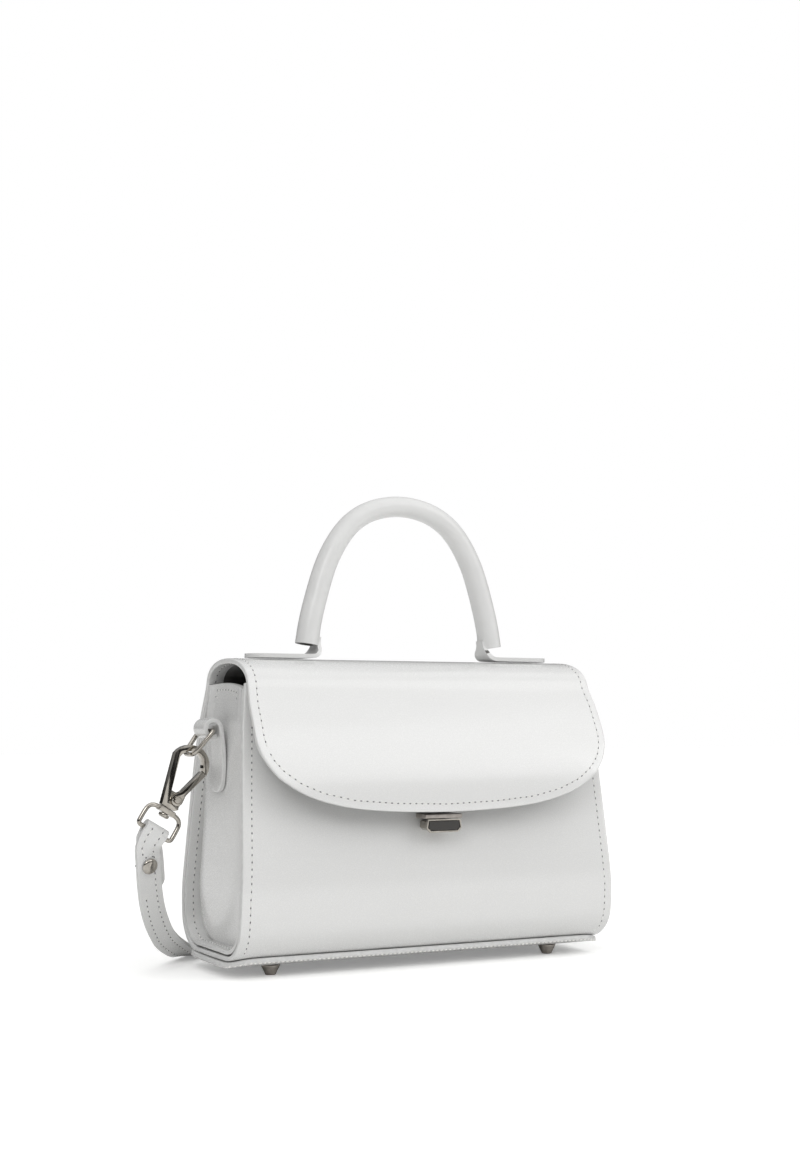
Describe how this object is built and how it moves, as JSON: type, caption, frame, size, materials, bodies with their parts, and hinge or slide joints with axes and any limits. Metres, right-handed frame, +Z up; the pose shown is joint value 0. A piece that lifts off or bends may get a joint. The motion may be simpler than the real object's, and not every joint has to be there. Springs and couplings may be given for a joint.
{
  "type": "handbag",
  "caption": "Small structured handbag in polished white leather with a rolled top handle, a front flap with a metal clasp, metal feet and a shoulder strap on snap hooks.",
  "frame": {"origin": "middle of the whole footprint, strap loop included, on the floor under the feet", "axes": "+Z up, -Y toward the side that the flap and clasp face, +X to the right for someone facing the flap"},
  "size_m": [0.3118, 0.3796, 0.251],
  "materials": {
    "white_leather": "polished",
    "nickel": "polished",
    "gunmetal": "satin",
    "black_enamel": "gloss"
  },
  "bodies": {
    "bag": {"back_and_flap": "white_leather", "front_panel": "white_leather", "gusset_left": "white_leather", "gusset_right": "white_leather", "sole": "white_leather", "foot_front_left": "gunmetal", "foot_back_left": "gunmetal", "foot_front_right": "gunmetal", "foot_back_right": "gunmetal", "handle": "white_leather", "clasp_body": "nickel", "clasp_plate": "nickel", "clasp_enamel": "black_enamel", "clasp_catch": "gunmetal", "ring_tab_left": "white_leather", "ring_left": "nickel", "hook_left": "nickel", "gate_pin_left": "nickel", "swivel_eye_left": "nickel", "strap_rivet_left": "nickel", "ring_tab_right": "white_leather", "ring_right": "nickel", "hook_right": "nickel", "gate_pin_right": "nickel", "swivel_eye_right": "nickel", "strap_rivet_right": "nickel", "shoulder_strap": "white_leather"},
    "gate_left": {"gate_left": "nickel"},
    "gate_right": {"gate_right": "nickel"}
  },
  "joints": [
    {"name": "gate_left_hinge", "type": "hinge", "parent": "bag", "child": "gate_left", "pos_m": [-0.13418, -0.13538, 0.088], "axis": [0, -1, 0], "range_deg": [0, 25], "stiffness_Nm_per_rad": 0.02, "springref_deg": -9.74},
    {"name": "gate_right_hinge", "type": "hinge", "parent": "bag", "child": "gate_right", "pos_m": [0.10928, -0.13538, 0.08457], "axis": [0, 1, 0], "range_deg": [0, 25], "stiffness_Nm_per_rad": 0.02, "springref_deg": -9.74}
  ]
}
